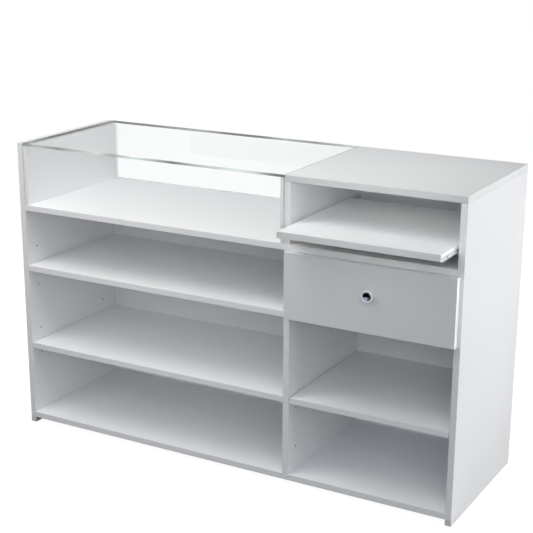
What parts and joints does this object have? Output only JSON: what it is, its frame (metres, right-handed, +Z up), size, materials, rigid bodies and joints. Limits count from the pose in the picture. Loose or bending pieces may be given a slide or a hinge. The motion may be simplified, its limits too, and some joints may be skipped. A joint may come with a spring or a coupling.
{
  "type": "checkout counter",
  "caption": "Free-standing white shop counter with a glass display case, open shelves, a pull-out shelf and a drawer with a round knob",
  "frame": {"origin": "on the floor at the middle of the end panels' footprint, under the middle support foot", "axes": "+X along the counter, to the right as the staff see it; +Y from the staff side to the customer side; +Z up"},
  "size_m": [1.5, 0.59, 0.95],
  "materials": {
    "melamine": "white melamine-faced board, fine satin, white edge banding",
    "glass": "clear float glass with polished green edges",
    "clear_plastic": "clear",
    "slide_steel": "bright zinc-plated sheet",
    "coated_steel": "steel sheet with a white powder coat",
    "fitting_steel": "nickel-plated",
    "chrome": "polished chrome",
    "beech": "fluted beech",
    "hardboard": "white-faced hardboard",
    "white_plastic": "moulded",
    "black_plastic": "moulded"
  },
  "bodies": {
    "carcass": {"left_end_panel": "melamine", "right_end_panel": "melamine", "lower_divider": "melamine", "upper_divider": "melamine", "bottom_board": "melamine", "deck_board": "melamine", "till_top": "melamine", "customer_panel": "melamine", "till_back_panel": "melamine", "left_lining": "melamine", "right_lining": "melamine", "glass_top": "glass", "glass_pane": "glass", "glass_bumpers": "clear_plastic", "pane_tape": "clear_plastic", "shelf_left_upper": "melamine", "shelf_left_lower": "melamine", "shelf_right": "melamine", "shelf_pins": "fitting_steel", "centre_feet": "black_plastic", "dowels": "beech", "cam_locks": "fitting_steel", "cam_bolts": "fitting_steel", "divider_screws": "fitting_steel", "tray_channel_left": "coated_steel", "tray_channel_right": "coated_steel", "drawer_channel_left": "slide_steel", "drawer_channel_right": "slide_steel", "channel_screws": "fitting_steel"},
    "tray": {"tray_board": "melamine", "tray_rail_left": "coated_steel", "tray_rail_right": "coated_steel", "tray_rail_screws": "fitting_steel"},
    "tray_bearings": {"tray_ball_cages": "white_plastic", "tray_balls": "fitting_steel"},
    "drawer": {"drawer_front": "melamine", "drawer_side_left": "melamine", "drawer_side_right": "melamine", "drawer_back": "melamine", "drawer_bottom": "hardboard", "drawer_dowels": "beech", "drawer_bottom_screws": "fitting_steel", "knob": "chrome", "knob_screw": "fitting_steel", "drawer_rail_left": "slide_steel", "drawer_rail_right": "slide_steel", "drawer_rail_screws": "fitting_steel"},
    "drawer_middles": {"drawer_middle_left": "slide_steel", "drawer_middle_right": "slide_steel"},
    "drawer_outer_bearings": {"drawer_outer_cages": "slide_steel"},
    "drawer_inner_bearings": {"drawer_inner_cages": "slide_steel"}
  },
  "joints": [
    {"name": "tray_slide", "type": "slide", "parent": "carcass", "child": "tray", "axis": [0, -1, 0], "range_m": [-0.1, 0.2]},
    {"name": "tray_bearing_slide", "type": "slide", "parent": "carcass", "child": "tray_bearings", "axis": [0, -1, 0], "range_m": [-0.05, 0.1]},
    {"name": "drawer_slide", "type": "slide", "parent": "carcass", "child": "drawer", "axis": [0, -1, 0], "range_m": [0, 0.38]},
    {"name": "drawer_middle_slide", "type": "slide", "parent": "carcass", "child": "drawer_middles", "axis": [0, -1, 0], "range_m": [0, 0.19]},
    {"name": "drawer_outer_bearing_slide", "type": "slide", "parent": "carcass", "child": "drawer_outer_bearings", "axis": [0, -1, 0], "range_m": [0, 0.095]},
    {"name": "drawer_inner_bearing_slide", "type": "slide", "parent": "carcass", "child": "drawer_inner_bearings", "axis": [0, -1, 0], "range_m": [0, 0.285]}
  ],
  "couplings": [
    {"joint": "tray_bearing_slide", "follows": "tray_slide", "ratio": 0.5},
    {"joint": "drawer_middle_slide", "follows": "drawer_slide", "ratio": 0.5},
    {"joint": "drawer_outer_bearing_slide", "follows": "drawer_slide", "ratio": 0.25},
    {"joint": "drawer_inner_bearing_slide", "follows": "drawer_slide", "ratio": 0.75}
  ]
}
